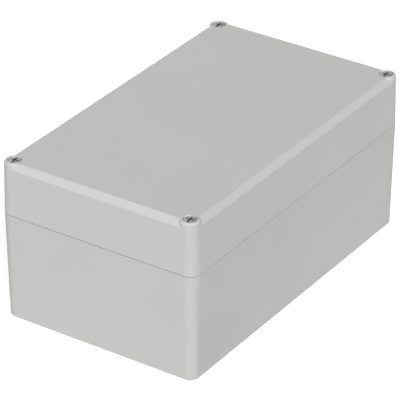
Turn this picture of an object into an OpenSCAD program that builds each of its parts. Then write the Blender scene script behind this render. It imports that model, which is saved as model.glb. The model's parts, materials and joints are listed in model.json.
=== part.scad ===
// Sealed plastic project box: a moulded base and a deep lid, closed by four captive corner screws.
// Millimetres, +Z up. The origin is on the underside of the base, at the middle of the footprint.

/* [Size] */
// Length over the walls at the seam
box_length = 200; // [160:1:260]
// Width over the walls at the seam
box_width = 120; // [110:1:180]
// Height of the base, from its underside to the seam
base_height = 61.5; // [50:0.5:90]
// Height of the lid, from the seam to its top
lid_height = 30.5; // [30:0.5:45]

/* [Walls] */
// Thickness of the side walls
wall = 4; // [3.8:0.1:4.5]
// Thickness of the floor of the base
floor_thickness = 3.5; // [3:0.1:5]
// Thickness of the top of the lid
lid_thickness = 3.5; // [3:0.1:4]
// Draft angle of the base's walls
base_draft = 1.06; // [0.5:0.01:1.2]
// Draft angle of the lid's walls
lid_draft = 0.95; // [0.5:0.01:1.2]

/* [Edges] */
// Radius of the upright corners at the seam, which is also how far the screws stand in from the walls
corner_radius = 6; // [5.8:0.1:6.5]
// Width of the bevel along the top edges of the lid
bevel_width = 2.95; // [1:0.05:3.5]
// Drop of the bevel along the top edges of the lid
bevel_drop = 3.2; // [1:0.05:4]
// Bevel round the underside of the base
foot_bevel = 0.3; // [0.2:0.1:1.5]
// Height of the shadow gap at the seam, which shows as a fine line round the box
seam_gap = 0.35; // [0.2:0.05:0.5]
// Depth of that gap
seam_gap_depth = 1.3; // [0.6:0.1:1.3]
// Radius of the rounded edge of each corner boss
boss_edge_radius = 1.5; // [0.5:0.1:1.8]

/* [Seal] */
// Distance of the seal's centre line from the outside of the walls
seal_inset = 2.1; // [2:0.1:2.4]
// Width of the groove in the lid, and of the gasket that fills it
groove_width = 1.9; // [1.5:0.1:2]
// Depth of the groove in the lid
groove_depth = 3; // [2:0.1:4]
// Thickness of the gasket
gasket_thickness = 1.6; // [1:0.1:1.8]
// Width of the tongue on the base
tongue_width = 1.3; // [1:0.1:1.3]

/* [Wall fixing] */
// Spacing of the wall fixing holes along the length, as a distance in from both ends
fixing_inset_x = 8; // [7.5:0.5:9]
// Distance of the wall fixing holes in from the long sides
fixing_inset_y = 17; // [17:0.5:20]
// Diameter of the wall fixing holes
fixing_hole_d = 4.5; // [3.5:0.1:5]
// Diameter of the channels that take the wall screws' heads
channel_d = 8.4; // [8:0.1:8.8]
// Height at which those heads rest
channel_floor = 6; // [5:0.5:10]

/* [Board bosses] */
// Distance of the outer board bosses from the middle, along the length
board_x = 70; // [50:1:75]
// Distance of the board bosses from the middle, across the width
board_y = 36; // [20:1:40]
// Height of the board bosses above the floor or below the top
board_boss_h = 5; // [3:0.5:8]
// Diameter of the board bosses at their ends
board_boss_d = 6.6; // [6:0.1:8]
// Diameter of their pilot holes
pilot_d = 2.5; // [2:0.1:3]

/* [Screws] */
// Diameter of the screw thread
thread_d = 4; // [3:0.5:4]
// Pitch of the screw thread
thread_pitch = 0.7; // [0.5:0.1:0.7]
// Length of the screw under its head
screw_length = 35; // [33:1:36]
// Diameter of the screw head
head_d = 7; // [6.5:0.1:7]
// Height of the screw head
head_h = 2.6; // [2.4:0.1:3]
// How far the crown of the head lies below the top of the lid
head_sink = 0.2; // [0.1:0.05:1]
// Height of the domed crown of the head
crown_h = 0.65; // [0.3:0.05:1]
// Diameter of the recess for the head
recess_d = 7.5; // [7.4:0.1:7.6]
// Turns that loosen a screw, until its ring stops it
loosening_turns = 11.5; // [10:0.5:12]

/* [Hidden] */
$fn = 64;
CORNERS = [["front_left", -1, -1], ["front_right", 1, -1], ["back_right", 1, 1], ["back_left", -1, 1]];
function corner_nodes(piece) = [for (corner = CORNERS) str(piece, "_", corner[0])];

shell_grey = [0.75, 0.75, 0.74];
seal_grey = [0.25, 0.25, 0.26];
brass = [0.80, 0.64, 0.34];
steel = [0.70, 0.71, 0.72];

over = 1; // how far a cutting solid runs past the face that it cuts
fine_bevel = 0.3; // bevel of small turned edges
lid_top = base_height + lid_height;

// The screws stand at the centres of the rounded corners
screw_x = box_length / 2 - corner_radius;
screw_y = box_width / 2 - corner_radius;

// The wall fixing channels stand beside the screws, outside the seal
fixing_x = box_length / 2 - fixing_inset_x;
fixing_y = box_width / 2 - fixing_inset_y;

// The seal's centre line runs inside the walls and turns inwards round the channels
seal_far_x = box_length / 2 - seal_inset;
seal_far_y = box_width / 2 - seal_inset;
seal_turn = channel_d / 2 + 1.2; // radius of the line round a channel
seal_near_x = fixing_x - seal_turn;
seal_near_y = fixing_y - seal_turn;
seal_corner = 4.4; // radius of the line where it leaves a wall

// Heights in the lid
head_top = lid_top - head_sink;
head_seat = head_top - head_h;
lid_ceiling = lid_top - lid_thickness;
groove_top = base_height + groove_depth;
gasket_face = groove_top - gasket_thickness;

// The head bears on a web of the corner boss. The retaining ring sits in a neck of the screw below
// that web, in a wider bore, and rises with the screw until it all but meets the web.
web_h = 12;
web_bottom = head_seat - web_h;
shank_bore_d = thread_d + 0.5;
ring_bore_d = 7;
ring_d = 6.2;
ring_h = 0.8;
ring_slit = 2;
ring_play = 0.05;
ring_stop_gap = 0.3;
screw_travel = loosening_turns * thread_pitch;
ring_top = web_bottom - screw_travel - ring_stop_gap;
neck_d = 3.2;

// Threaded inserts in the pillars of the base
insert_d = 5.6;
insert_h = 8;
insert_top = base_height - 0.3;
insert_waist_d = 5;
insert_bore_d = thread_d + 0.1;
tip_depth = 6; // hole for the screw's tip below the insert
tip_hole_d = thread_d + 0.6;

// Depth that the pilot holes of the board bosses reach below the floor's surface
pilot_depth = 2;

// How far a drafted wall leans in over a height, to a thousandth of a millimetre
function rise(angle, height) = round(1000 * tan(angle) * height) / 1000;

// An outline with the same profile on both sides: each [reach, z] point lies reach outside the axis
function both_sides(axis, profile) = concat(
    [for (point = profile) [axis + point[0], point[1]]],
    [for (i = [len(profile) - 1:-1:0]) [-axis - profile[i][0], profile[i][1]]]
);

module at_corners(x, y) {
    for (corner = CORNERS)
        translate([corner[1] * x, corner[2] * y, 0])
            children();
}

module revolved(profile) {
    last = profile[len(profile) - 1];
    rotate_extrude()
        polygon(concat([[0, profile[0][1]]], profile, last[0] == 0 ? [] : [[0, last[1]]]));
}

// A solid with four upright walls of one profile, and a post of another profile at each corner
module walled_solid(axis_x, axis_y, wall_profile, post_profile) {
    at_corners(axis_x, axis_y)
        revolved(post_profile);
    rotate([90, 0, 90])
        linear_extrude(2 * axis_x, center = true)
            polygon(both_sides(axis_y, wall_profile));
    rotate([90, 0, 0])
        linear_extrude(2 * axis_y, center = true)
            polygon(both_sides(axis_x, wall_profile));
}

module rounded_area(half_x, half_y, radius) {
    at_corners(half_x - radius, half_y - radius)
        circle(radius);
    square([2 * half_x, 2 * (half_y - radius)], center = true);
    square([2 * (half_x - radius), 2 * half_y], center = true);
}

// The area inside the seal's centre line, shrunk by inset all round
module seal_area(inset) {
    radius = seal_corner - inset;
    rounded_area(seal_far_x - inset, seal_near_y - inset, radius);
    rounded_area(seal_near_x - inset, seal_far_y - inset, radius);
    for (corner = CORNERS)
        scale([corner[1], corner[2]])
            difference() {
                translate([seal_near_x - inset - over, seal_near_y - inset - over])
                    square(seal_turn + inset + over);
                translate([fixing_x, fixing_y])
                    circle(seal_turn + inset);
            }
}

// A band along the seal's centre line
module seal_band(width, z, height) {
    translate([0, 0, z])
        linear_extrude(height)
            difference() {
                seal_area(-width / 2);
                seal_area(width / 2);
            }
}

// The drafted space inside the seal's line, from the rim's inset to the far end's inset
module seal_cavity(rim_inset, rim_z, end_inset, end_z) {
    profile = [[seal_corner - rim_inset, rim_z], [seal_corner - end_inset, end_z]];
    low = min(rim_z, end_z);
    height = abs(end_z - rim_z);
    low_inset = rim_z < end_z ? rim_inset : end_inset;
    high_inset = rim_z < end_z ? end_inset : rim_inset;
    reach = seal_turn + end_inset + over;
    walled_solid(seal_far_x - seal_corner, seal_near_y - seal_corner, profile, profile);
    walled_solid(seal_near_x - seal_corner, seal_far_y - seal_corner, profile, profile);
    for (corner = CORNERS)
        translate([corner[1] * fixing_x, corner[2] * fixing_y, low])
            difference() {
                translate([-corner[1] * reach / 2, -corner[2] * reach / 2, height / 2])
                    cube([reach, reach, height], center = true);
                cylinder(h = height, r1 = seal_turn + low_inset, r2 = seal_turn + high_inset);
            }
}

module board_boss(z, height) {
    translate([0, 0, z])
        cylinder(h = height, d1 = board_boss_d + 0.4, d2 = board_boss_d);
}

module base() color(shell_grey) {
    bottom_reach = corner_radius - rise(base_draft, base_height);
    profile = [
        [bottom_reach - foot_bevel, 0],
        [bottom_reach, foot_bevel],
        [corner_radius, base_height]
    ];
    rim_inset = wall - seal_inset;
    end_inset = rim_inset + rise(base_draft, base_height - floor_thickness);
    difference() {
        union() {
            difference() {
                walled_solid(screw_x, screw_y, profile, profile);
                seal_cavity(rim_inset, base_height, end_inset, floor_thickness);
            }
            seal_band(tongue_width, base_height - over, over + gasket_face - base_height);
            for (x = [-board_x, 0, board_x], y = [-board_y, board_y])
                translate([x, y, 0])
                    board_boss(floor_thickness - over, board_boss_h + over);
        }
        for (x = [-board_x, 0, board_x], y = [-board_y, board_y])
            translate([x, y, floor_thickness - pilot_depth])
                cylinder(h = board_boss_h + pilot_depth + over, d = pilot_d);
        at_corners(screw_x, screw_y) {
            translate([0, 0, insert_top - insert_h])
                cylinder(h = insert_h + over, d = insert_d);
            translate([0, 0, insert_top - insert_h - tip_depth])
                cylinder(h = insert_h, d = tip_hole_d);
        }
        at_corners(fixing_x, fixing_y) {
            translate([0, 0, channel_floor])
                cylinder(h = base_height, d = channel_d);
            translate([0, 0, -over])
                cylinder(h = base_height, d = fixing_hole_d);
        }
    }
}

module lid() color(shell_grey) {
    top_reach = corner_radius - rise(lid_draft, lid_height);
    boss_reach = corner_radius - rise(lid_draft, lid_height - boss_edge_radius);
    foot = [
        [corner_radius - seam_gap_depth, base_height],
        [corner_radius - seam_gap_depth, base_height + seam_gap],
        [corner_radius, base_height + seam_gap]
    ];
    wall_profile = concat(foot, [
        [top_reach, lid_top - bevel_drop],
        [top_reach - bevel_width, lid_top]
    ]);
    boss_profile = concat(foot, [
        for (angle = [0:15:90])
            [boss_reach - boss_edge_radius * (1 - cos(angle)), lid_top - boss_edge_radius * (1 - sin(angle))]
    ]);
    rim_inset = wall - seal_inset;
    end_inset = rim_inset + rise(lid_draft, lid_ceiling - base_height);
    difference() {
        union() {
            difference() {
                walled_solid(screw_x, screw_y, wall_profile, boss_profile);
                seal_cavity(rim_inset, base_height, end_inset, lid_ceiling);
            }
            for (x = [-board_x, board_x], y = [-board_y, board_y])
                translate([x, y, lid_ceiling + over])
                    mirror([0, 0, 1])
                        board_boss(0, board_boss_h + over);
        }
        for (x = [-board_x, board_x], y = [-board_y, board_y])
            translate([x, y, lid_ceiling - board_boss_h - over])
                cylinder(h = board_boss_h + pilot_depth, d = pilot_d);
        seal_band(groove_width, base_height - over, over + groove_depth);
        at_corners(screw_x, screw_y) {
            translate([0, 0, head_seat])
                cylinder(h = lid_height, d = recess_d);
            translate([0, 0, base_height - over])
                cylinder(h = lid_height, d = shank_bore_d);
            translate([0, 0, base_height - over])
                cylinder(h = over + web_bottom - base_height, d = ring_bore_d);
        }
        at_corners(fixing_x, fixing_y)
            translate([0, 0, base_height - over])
                cylinder(h = over + lid_height - 2 * lid_thickness, d = channel_d);
    }
}

module gasket() color(seal_grey)
    seal_band(groove_width, gasket_face, gasket_thickness);

// Brass bush with two knurled bands round a waist, and a bevelled mouth
module insert() color(brass) {
    bottom = insert_top - insert_h;
    rotate_extrude()
        polygon([
            [insert_bore_d / 2, bottom],
            [insert_d / 2 - fine_bevel, bottom],
            [insert_d / 2, bottom + fine_bevel],
            [insert_d / 2, bottom + insert_h * 0.4],
            [insert_waist_d / 2, bottom + insert_h * 0.45],
            [insert_waist_d / 2, bottom + insert_h * 0.55],
            [insert_d / 2, bottom + insert_h * 0.6],
            [insert_d / 2, insert_top],
            [insert_bore_d / 2 + fine_bevel, insert_top],
            [insert_bore_d / 2, insert_top - fine_bevel]
        ]);
}

// Slit ring that is pushed onto the neck of a screw
module retaining_ring() color(steel)
    translate([0, 0, ring_top - ring_h])
        difference() {
            cylinder(h = ring_h, d = ring_d);
            translate([0, 0, -over])
                cylinder(h = ring_h + 2 * over, d = neck_d + 2 * ring_play);
            translate([0, -ring_slit / 2, -over])
                cube([ring_d, ring_slit, ring_h + 2 * over]);
        }

// Low domed head with a slot and a cross recess, a neck for the ring, and a bevelled tip
module lid_screw() color(steel) {
    shank_r = thread_d / 2;
    head_r = head_d / 2;
    tip = head_seat - screw_length;
    tip_bevel = 2 * fine_bevel;
    neck_bottom = ring_top - ring_h - ring_play;
    neck_top = ring_top + ring_play;
    slot_w = 1;
    slot_depth = 1.1;
    slot_angle = 6;
    cross_span = 4.2;
    cross_depth = 1.7;
    shank = [
        [shank_r - tip_bevel, tip],
        [shank_r, tip + tip_bevel],
        [shank_r, neck_bottom],
        [neck_d / 2, neck_bottom],
        [neck_d / 2, neck_top],
        [shank_r, neck_top],
        [shank_r, head_seat],
        [head_r, head_seat]
    ];
    crown = [
        for (angle = [0:15:75])
            [head_r * cos(angle), head_top - crown_h * (1 - sin(angle))]
    ];
    difference() {
        revolved(concat(shank, crown, [[0, head_top]]));
        translate([0, 0, head_top])
            rotate([0, 0, slot_angle]) {
                cube([head_d + over, slot_w, 2 * slot_depth], center = true);
                cube([cross_span, slot_w, 2 * cross_depth], center = true);
                cube([slot_w, cross_span, 2 * cross_depth], center = true);
            }
    }
}

base();
lid();
gasket();
for (corner = CORNERS)
    translate([corner[1] * screw_x, corner[2] * screw_y, 0]) {
        insert();
        retaining_ring();
        lid_screw();
    }
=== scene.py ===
"""Looks of the plastic project box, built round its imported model: shell, seal, inserts, screws, rings."""

import json
import math

import bmesh
import bpy
from mathutils import Matrix, Vector


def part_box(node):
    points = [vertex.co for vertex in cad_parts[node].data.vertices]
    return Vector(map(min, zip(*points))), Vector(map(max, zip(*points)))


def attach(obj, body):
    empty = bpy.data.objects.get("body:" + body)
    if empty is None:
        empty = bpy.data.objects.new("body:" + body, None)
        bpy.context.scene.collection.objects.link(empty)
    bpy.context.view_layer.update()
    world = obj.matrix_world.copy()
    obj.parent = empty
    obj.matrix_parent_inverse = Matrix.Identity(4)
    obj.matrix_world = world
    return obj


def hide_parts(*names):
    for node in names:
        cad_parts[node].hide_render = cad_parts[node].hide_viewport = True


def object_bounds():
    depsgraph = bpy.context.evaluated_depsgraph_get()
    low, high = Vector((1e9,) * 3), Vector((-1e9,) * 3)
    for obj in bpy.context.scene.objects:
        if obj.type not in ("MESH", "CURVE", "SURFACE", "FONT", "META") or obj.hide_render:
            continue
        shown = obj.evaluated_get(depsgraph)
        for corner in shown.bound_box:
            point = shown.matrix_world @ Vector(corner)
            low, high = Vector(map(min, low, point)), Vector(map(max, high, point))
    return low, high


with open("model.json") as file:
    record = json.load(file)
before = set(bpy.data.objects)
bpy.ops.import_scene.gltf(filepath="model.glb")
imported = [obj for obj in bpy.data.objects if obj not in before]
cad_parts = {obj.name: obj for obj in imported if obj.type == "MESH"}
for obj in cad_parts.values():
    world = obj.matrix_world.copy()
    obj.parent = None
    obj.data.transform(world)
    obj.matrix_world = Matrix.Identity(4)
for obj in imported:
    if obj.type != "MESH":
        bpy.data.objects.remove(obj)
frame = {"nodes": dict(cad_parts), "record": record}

cad_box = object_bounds()


# --- Camera and light -----------------------------------------------------------------------
# A long lens looks down on the corner between the short and the long front wall. The key lamp
# stands beside the camera, two faint ones lift the short wall, and one behind lights the far walls.
# The sky is white to the camera, and dimmer to one side in reflections, which models bare metal.
SENSOR = 36.0
LENS = 256.83
CLIP_NEAR = 0.01
CLIP_FAR = 20
CAMERA_AZIMUTH = math.radians(-56.06)
CAMERA_ELEVATION = math.radians(29.69)
CAMERA_DISTANCE = 1.517924
CAMERA_SHIFT_RIGHT = -0.00287
CAMERA_SHIFT_UP = -0.004513
LAMPS = (
    # name, direction it shines from, strength, width in degrees
    ("key_lamp", (-0.5365, -0.533, 0.654), 2.33, 12),
    ("low_lamp", (-0.92, -0.20, 0.33), 0.20, 20),
    ("side_lamp", (-0.80, 0.60, 0.0), 0.64, 20),
    ("back_lamp", (0.70, 0.70, 0.0), 1.00, 10),
)
AMBIENT = 0.304
BRIGHT_SIDE = (-0.5, 0.8, -0.33)
BRIGHT_RANGE = (-0.5, 0.5)
GLOSS_RANGE = (0.35, 0.95)


def add_object(name, data):
    """An object in the scene, with the given data."""
    item = bpy.data.objects.new(name, data)
    bpy.context.scene.collection.objects.link(item)
    return item


back = Vector((
    math.sin(CAMERA_AZIMUTH) * math.cos(CAMERA_ELEVATION),
    -math.cos(CAMERA_AZIMUTH) * math.cos(CAMERA_ELEVATION),
    math.sin(CAMERA_ELEVATION),
))
right = Vector((0, 0, 1)).cross(back).normalized()
up = back.cross(right)
middle = Vector((0, 0, (cad_box[0][2] + cad_box[1][2]) / 2))

camera = add_object("camera", bpy.data.cameras.new("camera"))
camera.data.sensor_width = SENSOR
camera.data.lens = LENS
camera.data.clip_start = CLIP_NEAR
camera.data.clip_end = CLIP_FAR
camera.matrix_world = Matrix.Translation(
    middle + CAMERA_SHIFT_RIGHT * right + CAMERA_SHIFT_UP * up + CAMERA_DISTANCE * back
) @ Matrix((right, up, back)).transposed().to_4x4()
bpy.context.scene.camera = camera
bpy.context.scene.view_settings.view_transform = "Standard"

for name, towards, strength, width in LAMPS:
    lamp = bpy.data.lights.new(name, "SUN")
    lamp.energy = strength
    lamp.angle = math.radians(width)
    stand = add_object(name, lamp)
    stand.rotation_euler = Vector(towards).to_track_quat("Z", "Y").to_euler()
    stand.location = Vector(towards)


def add_node(tree, kind, inputs=None, **settings):
    """A node of the given kind, with its settings, and with its inputs set or linked."""
    node = tree.nodes.new(kind)
    for key, value in settings.items():
        setattr(node, key, value)
    for key, value in (inputs or {}).items():
        if isinstance(value, bpy.types.NodeSocket):
            tree.links.new(value, node.inputs[key])
        else:
            node.inputs[key].default_value = value
    return node


def math_node(tree, operation, *values):
    """The result of a Math node whose inputs are the given numbers or sockets."""
    return add_node(tree, "ShaderNodeMath", dict(enumerate(values)), operation=operation).outputs[0]


def seen_rays(tree):
    """1 for what the camera sees, straight or in a reflection, and 0 for soft light."""
    ray = add_node(tree, "ShaderNodeLightPath").outputs
    mirrored = math_node(tree, "MAXIMUM", ray["Is Glossy Ray"], ray["Is Transmission Ray"])
    return math_node(tree, "MAXIMUM", ray["Is Camera Ray"], mirrored)


world = bpy.data.worlds.new("studio")
bpy.context.scene.world = world
world.use_nodes = True
tree = world.node_tree
tree.nodes.clear()
ray = add_node(tree, "ShaderNodeLightPath").outputs
direction = add_node(tree, "ShaderNodeTexCoord").outputs["Generated"]
side = add_node(tree, "ShaderNodeVectorMath", {0: direction, 1: BRIGHT_SIDE}, operation="DOT_PRODUCT")
gloss = add_node(tree, "ShaderNodeMapRange", {
    "Value": side.outputs["Value"],
    "From Min": BRIGHT_RANGE[0],
    "From Max": BRIGHT_RANGE[1],
    "To Min": GLOSS_RANGE[0],
    "To Max": GLOSS_RANGE[1],
})
white = math_node(tree, "MAXIMUM", gloss.outputs[0], ray["Is Camera Ray"])
soft = add_node(tree, "ShaderNodeBackground", {"Color": (1, 1, 1, 1), "Strength": AMBIENT})
bright = add_node(tree, "ShaderNodeBackground", {"Color": (1, 1, 1, 1), "Strength": white})
sky = add_node(tree, "ShaderNodeMixShader", {0: seen_rays(tree), 1: soft.outputs[0], 2: bright.outputs[0]})
add_node(tree, "ShaderNodeOutputWorld", {"Surface": sky.outputs[0]})


# --- Floor ----------------------------------------------------------------------------------
# A plain pale table top that runs past the view on all sides. The camera sees it white apart from
# the box's soft shadow, reflections show it a little dimmer, and to soft light it is grey.
FLOOR_HALF = 6.0
FLOOR_DROP = 0.0001
FLOOR_GREY = (0.5, 0.5, 0.5, 1)
FLOOR_GLOW = 0.76
MIRRORED_GLOW = 0.45


def new_object(name, points, faces=(), edges=()):
    """A mesh object in the scene."""
    mesh = bpy.data.meshes.new(name)
    mesh.from_pydata(points, edges, faces)
    return add_object(name, mesh)


def new_material(name):
    """An empty material, as the material and its node tree."""
    material = bpy.data.materials.new(name)
    material.use_nodes = True
    material.node_tree.nodes.clear()
    return material, material.node_tree


floor_z = cad_box[0][2] - FLOOR_DROP
signs = ((-1, -1), (1, -1), (1, 1), (-1, 1))
floor = new_object("floor", [(x * FLOOR_HALF, y * FLOOR_HALF, floor_z) for x, y in signs], [(0, 1, 2, 3)])
table_top, tree = new_material("floor")
grey = add_node(tree, "ShaderNodeBsdfDiffuse", {"Color": FLOOR_GREY}).outputs[0]
direct = add_node(tree, "ShaderNodeLightPath").outputs["Is Camera Ray"]
lift = math_node(tree, "MULTIPLY_ADD", direct, FLOOR_GLOW - MIRRORED_GLOW, MIRRORED_GLOW)
glow = add_node(tree, "ShaderNodeEmission", {"Color": (1, 1, 1, 1), "Strength": lift}).outputs[0]
pale = add_node(tree, "ShaderNodeAddShader", {0: grey, 1: glow}).outputs[0]
surface = add_node(tree, "ShaderNodeMixShader", {0: seen_rays(tree), 1: grey, 2: pale}).outputs[0]
add_node(tree, "ShaderNodeOutputMaterial", {"Surface": surface})
floor.data.materials.append(table_top)


# --- Base and lid ---------------------------------------------------------------------------
# Two injection mouldings in light grey plastic. Their faces have the fine satin grain of a
# spark-eroded mould, and the tone wanders slightly over the walls. Their edges are a little soft,
# and softer still round the top of the lid.
SHELL_GREY = (0.60, 0.60, 0.59)
SHELL_GRAIN = 0.00004
SOFT_EDGE = 0.0003
SOFT_TOP_EDGE = 0.001
TOP_BAND = 0.005
TOP_BLEND = 0.001


def own_place(tree):
    """The place of each point in the object's own coordinates."""
    return add_node(tree, "ShaderNodeTexCoord").outputs["Object"]


def noise(tree, place, scale, detail=2.0, roughness=0.5):
    """Noise over a place, about 0.3 to 0.7."""
    settings = {"Vector": place, "Scale": scale, "Detail": detail, "Roughness": roughness}
    return add_node(tree, "ShaderNodeTexNoise", settings).outputs["Fac"]


def spread(tree, value, low, high, source=(0.3, 0.7)):
    """A value moved from its source range to the range from low to high."""
    limits = {"Value": value, "From Min": source[0], "From Max": source[1], "To Min": low, "To Max": high}
    return add_node(tree, "ShaderNodeMapRange", limits).outputs[0]


def tinted(tree, colour, tone):
    """A colour, made lighter and darker by a tone around 1."""
    scaled = add_node(tree, "ShaderNodeVectorMath", {0: colour, "Scale": tone}, operation="SCALE")
    return scaled.outputs[0]


def finish_material(tree, **inputs):
    """The tree's surface: one principled shader with the given inputs."""
    sockets = {key.replace("_", " "): value for key, value in inputs.items()}
    surface = add_node(tree, "ShaderNodeBsdfPrincipled", sockets)
    add_node(tree, "ShaderNodeOutputMaterial", {"Surface": surface.outputs[0]})


shell, tree = new_material("moulded_shell")
place = own_place(tree)
tone = spread(tree, noise(tree, place, scale=18.0), 0.985, 1.015)
grain = noise(tree, place, scale=2600.0, detail=3.0, roughness=0.6)
height = add_node(tree, "ShaderNodeSeparateXYZ", {0: place}).outputs[2]
band_low = cad_box[1][2] - TOP_BAND
edge = spread(tree, height, SOFT_EDGE, SOFT_TOP_EDGE, (band_low - TOP_BLEND, band_low))
rounded = add_node(tree, "ShaderNodeBevel", {"Radius": edge}, samples=8).outputs[0]
relief = add_node(tree, "ShaderNodeBump", {
    "Height": grain,
    "Strength": 0.25,
    "Distance": SHELL_GRAIN,
    "Normal": rounded,
})
finish_material(
    tree,
    Base_Color=tinted(tree, SHELL_GREY, tone),
    Roughness=spread(tree, grain, 0.44, 0.56),
    Normal=relief.outputs[0],
    IOR=1.5,
)
for name in ("base", "lid"):
    frame["nodes"][name].data.materials[0] = shell


# --- Lid screws -----------------------------------------------------------------------------
# Four turned and rolled M4 screws in stainless steel, one in each corner of the lid: a domed head
# with a slot and a tapered cross recess, a plain shank, the neck of the retaining ring, and a
# rolled thread down to the bevelled tip.
CORNERS = ("front_left", "front_right", "back_right", "back_left")
# Mesh: points round a turned shape, the angle from which an edge is sharp, and gaps that are closed
SIDES = 48
SHARP_ANGLE = math.radians(32)
WELD = 1e-7
THREAD_WELD = 1e-6
# Thread, with the shares of its pitch at which the root and the crest start and end
PITCH = 0.0007
THREAD_STEPS = (0.0, 0.25, 0.5625, 0.6875)
THREAD_ROOT = 0.00157
THREAD_CREST = 0.00198
THREAD_TO_RING = 0.0006
# Body, from the bevelled tip up; FINE is the breadth of the small bevels
TIP_BEVEL = (0.0004, 0.0005)
NECK_RADIUS = 0.0016
NECK_PLAY = 0.00015
SHANK_RADIUS = 0.002
HEAD_HEIGHT = 0.0026
HEAD_DOME = 0.00065
DOME_ANGLES = range(9, 82, 8)
FINE = 0.0001
# Recess: the cross tapers from the first span and width at the top to the second at its floor
SLOT_ANGLE = math.radians(6)
SLOT_WIDTH = 0.001
SLOT_DEPTH = 0.0011
CROSS_SPAN = (0.0023, 0.0012)
CROSS_WIDTH = (0.0005, 0.0004)
CROSS_DEPTH = 0.0018
CUTTER_RISE = 0.001
HAIR = 1e-5
# Finish; the dark recess colour is painted shade in the slot and cross
STEEL = (0.62, 0.62, 0.61)
RECESS_PAINTED_SHADE = (0.17, 0.17, 0.17)
LATHE_GROOVE = 0.00001


def corner_axis(node):
    """The upright axis of a CAD node, as its x and y, and its lowest and highest z."""
    low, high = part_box(node)
    return (low.x + high.x) / 2, (low.y + high.y) / 2, low.z, high.z


def turned(name, *profiles):
    """A body of revolution round Z for each profile of (radius, z) points, open between profiles."""
    points, faces = [], []
    for profile in profiles:
        ring = None
        for radius, z in profile:
            start = len(points)
            if radius == 0:
                points.append((0, 0, z))
                fresh = [start] * SIDES
            else:
                turns = [2 * math.pi * i / SIDES for i in range(SIDES)]
                points.extend((radius * math.cos(turn), radius * math.sin(turn), z) for turn in turns)
                fresh = list(range(start, start + SIDES))
            for i in range(SIDES if ring else 0):
                j = (i + 1) % SIDES
                # At the axis two of the four corners are the same point, and one of them drops out
                faces.append(tuple(dict.fromkeys((ring[i], ring[j], fresh[j], fresh[i]))))
            ring = fresh
    return new_object(name, points, faces)


def node_group(name, sockets):
    """A Geometry Nodes tree with a geometry input and output, and its other inputs as label and kind."""
    tree = bpy.data.node_groups.new(name, "GeometryNodeTree")
    tree.interface.new_socket("Geometry", in_out="OUTPUT", socket_type="NodeSocketGeometry")
    tree.interface.new_socket("Geometry", in_out="INPUT", socket_type="NodeSocketGeometry")
    for label, kind in sockets.items():
        tree.interface.new_socket(label, in_out="INPUT", socket_type=kind)
    return tree, tree.nodes.new("NodeGroupInput").outputs


def end_group(tree, geometry, material):
    """Realizes the instances of the geometry, sets its material and puts it out."""
    real = add_node(tree, "GeometryNodeRealizeInstances", {"Geometry": geometry})
    painted = add_node(tree, "GeometryNodeSetMaterial", {"Geometry": real.outputs[0], "Material": material})
    add_node(tree, "NodeGroupOutput", {0: painted.outputs[0]})


def grown(holder, tree, values, cutters=()):
    """The mesh that a node tree, with its inputs set, makes of an object, less what the cutters take."""
    modifier = holder.modifiers.new("growth", "NODES")
    modifier.node_group = tree
    for item in tree.interface.items_tree:
        if item.in_out == "INPUT" and item.name in values:
            modifier[item.identifier] = values[item.name]
    for cutter in cutters:
        cut = holder.modifiers.new("cut", "BOOLEAN")
        cut.operation = "DIFFERENCE"
        cut.solver = "EXACT"
        cut.material_mode = "TRANSFER"
        cut.object = cutter
    bpy.context.view_layer.update()
    evaluated = holder.evaluated_get(bpy.context.evaluated_depsgraph_get())
    mesh = bpy.data.meshes.new_from_object(evaluated)
    for used_up in (holder, *cutters):
        bpy.data.objects.remove(used_up)
    # Seams are closed and normals turned outwards
    work = bmesh.new()
    work.from_mesh(mesh)
    bmesh.ops.remove_doubles(work, verts=work.verts, dist=WELD)
    bmesh.ops.recalc_face_normals(work, faces=work.faces)
    work.to_mesh(mesh)
    work.free()
    # Slots without a material are dropped
    used = [material for material in mesh.materials if material]
    slots = [used.index(mesh.materials[face.material_index]) for face in mesh.polygons]
    mesh.materials.clear()
    for material in used:
        mesh.materials.append(material)
    mesh.polygons.foreach_set("material_index", slots)
    mesh.polygons.foreach_set("use_smooth", [True] * len(mesh.polygons))
    mesh.set_sharp_from_angle(angle=SHARP_ANGLE)
    return mesh


def place_piece(name, mesh, x, y, body, node):
    """A copy of a mesh on the axis at x and y, which rides on a body and stands for a CAD node."""
    copy = mesh.copy()
    copy.name = name
    copy.transform(Matrix.Translation((x, y, 0)))
    piece = add_object(name, copy)
    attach(piece, body)
    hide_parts(node)


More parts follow.
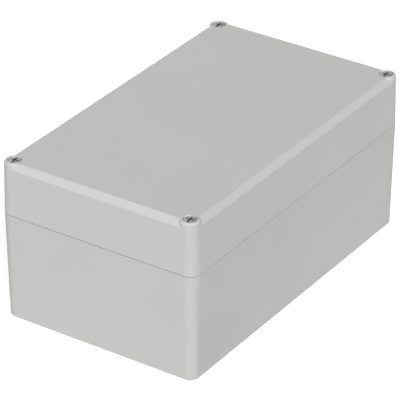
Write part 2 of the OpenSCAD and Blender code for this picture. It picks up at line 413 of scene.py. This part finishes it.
def thread_group(material):
    """A tree that adds a right-hand thread between two heights and closes it against the rest."""
    tree, given = node_group("thread", {
        "Start": "NodeSocketFloat",
        "End": "NodeSocketFloat",
        "Pitch": "NodeSocketFloat",
        "Root": "NodeSocketFloat",
        "Crest": "NodeSocketFloat",
        "Rows": "NodeSocketInt",
        "Columns": "NodeSocketInt",
    })
    grid = add_node(tree, "GeometryNodeMeshGrid", {
        "Size X": 1.0,
        "Size Y": 1.0,
        "Vertices X": given["Rows"],
        "Vertices Y": given["Columns"],
    })
    spot = add_node(tree, "GeometryNodeInputPosition").outputs[0]
    spot = add_node(tree, "ShaderNodeSeparateXYZ", {0: spot}).outputs
    # The grid runs from -0.5 to 0.5 both ways: its rows follow the helix, and each goes once round
    last_row = math_node(tree, "SUBTRACT", given["Rows"], 1)
    row = math_node(tree, "MULTIPLY", math_node(tree, "ADD", spot[0], 0.5), last_row)
    row = math_node(tree, "ROUND", row)
    turn = math_node(tree, "ADD", spot[1], 0.5)
    step = math_node(tree, "FLOORED_MODULO", row, len(THREAD_STEPS))
    lap = math_node(tree, "FLOOR", math_node(tree, "DIVIDE", row, len(THREAD_STEPS)))
    # Four rows to a pitch: where the root starts and ends, and where the crest starts and ends
    along = add_node(tree, "GeometryNodeIndexSwitch", {"Index": step}, data_type="FLOAT")
    for _ in THREAD_STEPS[2:]:
        along.index_switch_items.new()
    for number, share in enumerate(THREAD_STEPS):
        along.inputs[number + 1].default_value = share
    laps = math_node(tree, "ADD", lap, along.outputs[0])
    laps = math_node(tree, "ADD", laps, math_node(tree, "SUBTRACT", turn, 1))
    height = math_node(tree, "MULTIPLY_ADD", laps, given["Pitch"], given["Start"])
    height = math_node(tree, "MINIMUM", math_node(tree, "MAXIMUM", height, given["Start"]), given["End"])
    # The last two of the four rows are the crest, which fades to the root within a pitch of each end
    from_start = math_node(tree, "SUBTRACT", height, given["Start"])
    from_end = math_node(tree, "SUBTRACT", given["End"], height)
    nearest = math_node(tree, "DIVIDE", math_node(tree, "MINIMUM", from_start, from_end), given["Pitch"])
    fade = math_node(tree, "MINIMUM", nearest, 1)
    crest = math_node(tree, "MULTIPLY", math_node(tree, "GREATER_THAN", step, 1.5), fade)
    depth = math_node(tree, "SUBTRACT", given["Crest"], given["Root"])
    radius = math_node(tree, "MULTIPLY_ADD", crest, depth, given["Root"])
    angle = math_node(tree, "MULTIPLY", turn, 2 * math.pi)
    point = add_node(tree, "ShaderNodeCombineXYZ", {
        0: math_node(tree, "MULTIPLY", radius, math_node(tree, "COSINE", angle)),
        1: math_node(tree, "MULTIPLY", radius, math_node(tree, "SINE", angle)),
        2: height,
    })
    moved = add_node(tree, "GeometryNodeSetPosition", {
        "Geometry": grid.outputs[0],
        "Position": point.outputs[0],
    })
    joined = add_node(tree, "GeometryNodeJoinGeometry", {0: moved.outputs[0]})
    tree.links.new(given["Geometry"], joined.inputs[0])
    merged = add_node(tree, "GeometryNodeMergeByDistance", {
        "Geometry": joined.outputs[0],
        "Distance": THREAD_WELD,
    })
    end_group(tree, merged.outputs[0], material)
    return tree


def thread_values(start, end, root, crest):
    """The inputs of the thread tree for a thread between two heights."""
    turns = math.ceil((end - start) / PITCH) + 1
    return {
        "Start": start,
        "End": end,
        "Pitch": PITCH,
        "Root": root,
        "Crest": crest,
        "Rows": len(THREAD_STEPS) * turns + 1,
        "Columns": SIDES + 1,
    }


def turning_marks(tree, node, closeness, strength):
    """Relief of the fine rings that a lathe leaves, round the axis of a CAD node in each corner."""
    x, y, _, _ = corner_axis(node)
    place = add_node(tree, "ShaderNodeSeparateXYZ", {0: own_place(tree)}).outputs
    across = math_node(tree, "SUBTRACT", math_node(tree, "ABSOLUTE", place[0]), abs(x))
    along = math_node(tree, "SUBTRACT", math_node(tree, "ABSOLUTE", place[1]), abs(y))
    offset = add_node(tree, "ShaderNodeCombineXYZ", {0: across, 1: along})
    away = add_node(tree, "ShaderNodeVectorMath", {0: offset.outputs[0]}, operation="LENGTH")
    wave = math_node(tree, "SINE", math_node(tree, "MULTIPLY", away.outputs["Value"], closeness))
    return add_node(tree, "ShaderNodeBump", {"Height": wave, "Strength": strength, "Distance": LATHE_GROOVE})


steel, tree = new_material("turned_steel")
place = own_place(tree)
smudge = noise(tree, place, scale=420.0)
relief = turning_marks(tree, "lid_screw_front_left", closeness=52000.0, strength=0.2)
finish_material(
    tree,
    Base_Color=tinted(tree, STEEL, spread(tree, smudge, 0.94, 1.04)),
    Metallic=1.0,
    Roughness=spread(tree, smudge, 0.26, 0.36),
    Normal=relief.outputs[0],
)

# The faces cut by the slot and cross get a dark, dull steel colour: painted shade in the recess, not a
# different finish of the steel.
recess_shade, tree = new_material("steel_with_painted_recess_shade")
place = own_place(tree)
smudge = noise(tree, place, scale=900.0)
finish_material(
    tree,
    Base_Color=tinted(tree, RECESS_PAINTED_SHADE, spread(tree, smudge, 0.8, 1.2)),
    Metallic=0.6,
    Roughness=spread(tree, smudge, 0.5, 0.7),
)

x, _, tip, top = corner_axis("lid_screw_front_left")
head_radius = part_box("lid_screw_front_left")[1].x - x
_, _, ring_low, ring_high = corner_axis("retaining_ring_front_left")
seat = top - HEAD_HEIGHT
dome = [
    (head_radius * math.cos(math.radians(angle)), top - HEAD_DOME * (1 - math.sin(math.radians(angle))))
    for angle in DOME_ANGLES
]
thread_start = tip + TIP_BEVEL[1]
thread_end = ring_low - THREAD_TO_RING
neck_end = ring_high + NECK_PLAY
template = turned(
    "screw",
    [(0, tip), (THREAD_ROOT - TIP_BEVEL[0], tip), (THREAD_ROOT, thread_start)],
    [
        (THREAD_ROOT, thread_end),
        (NECK_RADIUS, thread_end + FINE),
        (NECK_RADIUS, neck_end),
        (SHANK_RADIUS - 2 * FINE, neck_end),
        (SHANK_RADIUS, neck_end + 2 * FINE),
        (SHANK_RADIUS, seat - 2 * FINE),
        (SHANK_RADIUS + 2 * FINE, seat),
        (head_radius - FINE, seat),
        (head_radius, seat + FINE),
        (head_radius, top - HEAD_DOME - FINE),
        *dome,
        (0, top),
    ],
)


def recess(name, *outlines):
    """A cutter between two plus shapes, each as the reach of its two arms, its half width and its z."""
    points = []
    for *reaches, half, z in outlines:
        for turn in range(4):
            reach = reaches[turn % 2]
            heading = SLOT_ANGLE + turn * math.pi / 2
            ahead = Vector((math.cos(heading), math.sin(heading)))
            aside = Vector((-ahead.y, ahead.x))
            for along, across in ((half, -half), (reach, -half), (reach, half)):
                spot = ahead * along + aside * across
                points.append((spot.x, spot.y, z))
    count = len(points) // 2
    faces = [tuple(reversed(range(count)))]
    faces.extend((i, (i + 1) % count, count + (i + 1) % count, count + i) for i in range(count))
    faces.append(tuple(range(count, 2 * count)))
    cutter = new_object(name, points, faces)
    # The cut faces take this dark colour, which paints the shade inside the recess.
    cutter.data.materials.append(recess_shade)
    return cutter


slope = (CROSS_SPAN[0] - CROSS_SPAN[1]) / CROSS_DEPTH
lean = (CROSS_WIDTH[0] - CROSS_WIDTH[1]) / CROSS_DEPTH
span = CROSS_SPAN[0] + slope * CUTTER_RISE
width = CROSS_WIDTH[0] + lean * CUTTER_RISE
cross = recess(
    "cross",
    (CROSS_SPAN[1], CROSS_SPAN[1], CROSS_WIDTH[1], top - CROSS_DEPTH),
    (span, span, width, top + CUTTER_RISE),
)
# The slot is a plus shape too, with two of its arms cut down to a hair
across_head = (head_radius + CUTTER_RISE, SLOT_WIDTH / 2 + HAIR, SLOT_WIDTH / 2)
slot = recess("slot", (*across_head, top - SLOT_DEPTH), (*across_head, top + CUTTER_RISE))
thread = thread_values(thread_start, thread_end, THREAD_ROOT, THREAD_CREST)
screw = grown(template, thread_group(steel), thread, (slot, cross))
for corner in CORNERS:
    node = f"lid_screw_{corner}"
    x, y, _, _ = corner_axis(node)
    place_piece(f"screw_{corner}_dressed", screw, x, y, f"screw_{corner}", node)


# --- Threaded inserts -----------------------------------------------------------------------
# Four brass bushes set into the pillars of the base by heat. Two bands of fine straight knurling
# hold them in the plastic, and the bore has the screws' thread.
BRASS = (0.80, 0.62, 0.32)
INSERT_WALL = 0.00266
WAIST_RADIUS = 0.0025
WAIST_SHARE = (0.42, 0.46, 0.54, 0.58)
BORE_CREST = 0.00206
BORE_ROOT = 0.00235
MOUTH_RADIUS = 0.00243
KNURLS = 30
KNURL_SHARE = (0.06, 0.40, 0.60, 0.94)

brass, tree = new_material("knurled_brass")
place = own_place(tree)
smudge = noise(tree, place, scale=520.0)
relief = turning_marks(tree, "insert_front_left", closeness=60000.0, strength=0.15)
finish_material(
    tree,
    Base_Color=tinted(tree, BRASS, spread(tree, smudge, 0.9, 1.05)),
    Metallic=1.0,
    Roughness=spread(tree, smudge, 0.26, 0.38),
    Normal=relief.outputs[0],
)

x, _, low, high = corner_axis("insert_front_left")
insert_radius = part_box("insert_front_left")[1].x - x
tall = high - low


def knurl_group(material):
    """A tree that adds two bands of ridges round Z to what it is given."""
    tree, given = node_group("knurling", {
        "Count": "NodeSocketInt",
        "Radius": "NodeSocketFloat",
        "Depth": "NodeSocketFloat",
        "Low Band": "NodeSocketVector",
        "High Band": "NodeSocketVector",
        "Band Height": "NodeSocketFloat",
    })
    ring = add_node(tree, "GeometryNodeMeshCircle", {"Vertices": given["Count"], "Radius": given["Radius"]})
    spot = add_node(tree, "GeometryNodeInputPosition").outputs[0]
    facing = add_node(tree, "FunctionNodeAlignRotationToVector", {"Vector": spot}, axis="X")
    ridge = add_node(tree, "GeometryNodeMeshCylinder", {
        "Vertices": 4,
        "Radius": given["Depth"],
        "Depth": given["Band Height"],
    })
    ridges = add_node(tree, "GeometryNodeInstanceOnPoints", {
        "Points": ring.outputs[0],
        "Instance": ridge.outputs[0],
        "Rotation": facing.outputs[0],
    })
    joined = add_node(tree, "GeometryNodeJoinGeometry", {0: given["Geometry"]})
    for band in ("Low Band", "High Band"):
        raised = add_node(tree, "GeometryNodeTransform", {
            "Geometry": ridges.outputs[0],
            "Translation": given[band],
        })
        tree.links.new(raised.outputs[0], joined.inputs[0])
    end_group(tree, joined.outputs[0], material)
    return tree


bush = turned("insert", [
    (BORE_ROOT, low + FINE),
    (MOUTH_RADIUS, low),
    (INSERT_WALL - FINE, low),
    (INSERT_WALL, low + FINE),
    (INSERT_WALL, low + tall * WAIST_SHARE[0]),
    (WAIST_RADIUS, low + tall * WAIST_SHARE[1]),
    (WAIST_RADIUS, low + tall * WAIST_SHARE[2]),
    (INSERT_WALL, low + tall * WAIST_SHARE[3]),
    (INSERT_WALL, high - FINE),
    (INSERT_WALL - FINE, high),
    (MOUTH_RADIUS + FINE, high),
    (BORE_ROOT, high - 2 * FINE),
])
bored = grown(bush, thread_group(brass), thread_values(low + FINE, high - 2 * FINE, BORE_ROOT, BORE_CREST))
knurled = grown(new_object("insert", []), knurl_group(brass), {
    "Count": KNURLS,
    "Radius": INSERT_WALL,
    "Depth": insert_radius - INSERT_WALL,
    "Low Band": (0, 0, low + tall * (KNURL_SHARE[0] + KNURL_SHARE[1]) / 2),
    "High Band": (0, 0, low + tall * (KNURL_SHARE[2] + KNURL_SHARE[3]) / 2),
    "Band Height": tall * (KNURL_SHARE[1] - KNURL_SHARE[0]),
})
work = bmesh.new()
work.from_mesh(bored)
work.from_mesh(knurled)
insert = bpy.data.meshes.new("insert")
work.to_mesh(insert)
work.free()
insert.materials.append(brass)
insert.set_sharp_from_angle(angle=SHARP_ANGLE)
for corner in CORNERS:
    node = f"insert_{corner}"
    x, y, _, _ = corner_axis(node)
    place_piece(f"insert_{corner}_dressed", insert, x, y, "base", node)


# --- Retaining rings ------------------------------------------------------------------------
# A slit ring of spring steel in the neck of each screw, which keeps the screw in the lid. It is
# stamped, so its edges are slightly round.
RING_SLIT = 0.002
RING_BORE = 0.00165
RING_EDGE = 0.00012
RING_RELIEF = 0.00002
RING_GREY = (0.5, 0.5, 0.5)

ring_steel, tree = new_material("spring_steel")
place = own_place(tree)
smudge = noise(tree, place, scale=700.0, detail=3.0)
relief = add_node(tree, "ShaderNodeBump", {"Height": smudge, "Strength": 0.2, "Distance": RING_RELIEF})
finish_material(
    tree,
    Base_Color=tinted(tree, RING_GREY, spread(tree, smudge, 0.85, 1.05)),
    Metallic=1.0,
    Roughness=spread(tree, smudge, 0.34, 0.5),
    Normal=relief.outputs[0],
)


def rounded_section(tree, given):
    """A rectangle with rounded corners, of the width, height and edge radius that a tree is given."""
    section = add_node(tree, "GeometryNodeCurvePrimitiveQuadrilateral", {
        "Width": given["Width"],
        "Height": given["Height"],
    })
    section = add_node(tree, "GeometryNodeFilletCurve", {
        "Curve": section.outputs[0],
        "Count": 3,
        "Radius": given["Edge"],
    }, mode="POLY")
    return section.outputs[0]


low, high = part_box("retaining_ring_front_left")
ring_radius = (high.y - low.y) / 2
centre_line = (ring_radius + RING_BORE) / 2
gap = 2 * math.asin(RING_SLIT / 2 / centre_line)
tree, given = node_group("slit_ring", {
    "Radius": "NodeSocketFloat",
    "Gap": "NodeSocketFloat",
    "Sweep": "NodeSocketFloat",
    "Width": "NodeSocketFloat",
    "Height": "NodeSocketFloat",
    "Edge": "NodeSocketFloat",
    "Level": "NodeSocketVector",
})
arc = add_node(tree, "GeometryNodeCurveArc", {
    "Resolution": 64,
    "Radius": given["Radius"],
    "Start Angle": given["Gap"],
    "Sweep Angle": given["Sweep"],
}, mode="RADIUS")
band = add_node(tree, "GeometryNodeCurveToMesh", {
    "Curve": arc.outputs[0],
    "Profile Curve": rounded_section(tree, given),
    "Fill Caps": True,
})
band = add_node(tree, "GeometryNodeTransform", {"Geometry": band.outputs[0], "Translation": given["Level"]})
end_group(tree, band.outputs[0], ring_steel)
ring = grown(new_object("ring", []), tree, {
    "Radius": centre_line,
    "Gap": gap / 2,
    "Sweep": 2 * math.pi - gap,
    "Width": ring_radius - RING_BORE,
    "Height": ring_high - ring_low,
    "Edge": RING_EDGE,
    "Level": (0, 0, (ring_low + ring_high) / 2),
})
for corner in CORNERS:
    node = f"retaining_ring_{corner}"
    x, y, _, _ = corner_axis(f"lid_screw_{corner}")
    place_piece(f"ring_{corner}_dressed", ring, x, y, f"ring_{corner}", node)


# --- Gasket ---------------------------------------------------------------------------------
# A bead of foamed rubber, run into the groove of the lid by a nozzle. It follows the walls and
# turns inwards round the channels of the wall screws. The tongue of the base has pressed a flat
# track into it, so it stands a little proud on both sides of that.
MM = 0.001
GROOVE_WIDTH = 0.0019
SEAL_WIDTH = 0.00186
SEAL_TURN = 0.0054
SEAL_CORNER = 0.0044
TRACK_HALF = 0.00067
TRACK_DEPTH = 0.00012
SEAL_EDGE = 0.0003
SEAL_GREY = (0.035, 0.035, 0.037)
CELL_DEPTH = 0.00005

rubber, tree = new_material("foamed_seal")
place = own_place(tree)
cells = add_node(tree, "ShaderNodeTexVoronoi", {"Vector": place, "Scale": 5200.0}).outputs["Distance"]
mottle = noise(tree, place, scale=300.0)
relief = add_node(tree, "ShaderNodeBump", {"Height": cells, "Strength": 0.5, "Distance": CELL_DEPTH})
finish_material(
    tree,
    Base_Color=tinted(tree, SEAL_GREY, spread(tree, mottle, 0.8, 1.3)),
    Roughness=spread(tree, mottle, 0.75, 0.9),
    Normal=relief.outputs[0],
)

low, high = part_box("gasket")
fixings = next(m for m in frame["record"]["mounts"] if m["name"] == "wall_fixing_holes")["dims"]
far_x = high.x - GROOVE_WIDTH / 2
far_y = high.y - GROOVE_WIDTH / 2
near_x = fixings["spacing_x_mm"] * MM / 2 - SEAL_TURN
near_y = fixings["spacing_y_mm"] * MM / 2 - SEAL_TURN
quarter = [(far_x, near_y, SEAL_CORNER), (near_x, near_y, SEAL_TURN), (near_x, far_y, SEAL_CORNER)]
bends = []
for sign_x, sign_y in ((1, 1), (-1, 1), (-1, -1), (1, -1)):
    part = quarter if sign_x * sign_y > 0 else reversed(quarter)
    bends.extend((sign_x * x, sign_y * y, radius) for x, y, radius in part)
spans = [(i, (i + 1) % len(bends)) for i in range(len(bends))]
route = new_object("seal_route", [(x, y, 0) for x, y, _ in bends], edges=spans)
bend = route.data.attributes.new("bend", "FLOAT", "POINT")
bend.data.foreach_set("value", [radius for _, _, radius in bends])

tree, given = node_group("bead", {
    "Width": "NodeSocketFloat",
    "Height": "NodeSocketFloat",
    "Edge": "NodeSocketFloat",
    "Track": "NodeSocketFloat",
    "Depth": "NodeSocketFloat",
    "Level": "NodeSocketVector",
})
path = add_node(tree, "GeometryNodeMeshToCurve", {"Mesh": given["Geometry"]})
radii = add_node(tree, "GeometryNodeInputNamedAttribute", {"Name": "bend"}, data_type="FLOAT")
path = add_node(tree, "GeometryNodeFilletCurve", {
    "Curve": path.outputs[0],
    "Count": 12,
    "Radius": radii.outputs[0],
}, mode="POLY")
section = rounded_section(tree, given)
section = add_node(tree, "GeometryNodeResampleCurve", {"Curve": section, "Count": 48})
spot = add_node(tree, "GeometryNodeInputPosition").outputs[0]
across = add_node(tree, "ShaderNodeSeparateXYZ", {0: spot}).outputs
on_track = math_node(tree, "LESS_THAN", math_node(tree, "ABSOLUTE", across[0]), given["Track"])
below = math_node(tree, "LESS_THAN", across[1], 0)
lift = math_node(tree, "MULTIPLY", math_node(tree, "MULTIPLY", on_track, below), given["Depth"])
offset = add_node(tree, "ShaderNodeCombineXYZ", {1: lift})
section = add_node(tree, "GeometryNodeSetPosition", {
    "Geometry": section.outputs[0],
    "Offset": offset.outputs[0],
})
bead = add_node(tree, "GeometryNodeCurveToMesh", {
    "Curve": path.outputs[0],
    "Profile Curve": section.outputs[0],
})
bead = add_node(tree, "GeometryNodeTransform", {"Geometry": bead.outputs[0], "Translation": given["Level"]})
end_group(tree, bead.outputs[0], rubber)
bottom = low.z - TRACK_DEPTH
seal = grown(route, tree, {
    "Width": SEAL_WIDTH,
    "Height": high.z - bottom,
    "Edge": SEAL_EDGE,
    "Track": TRACK_HALF,
    "Depth": TRACK_DEPTH,
    "Level": (0, 0, (high.z + bottom) / 2),
})
place_piece("gasket_dressed", seal, 0, 0, "lid", "gasket")
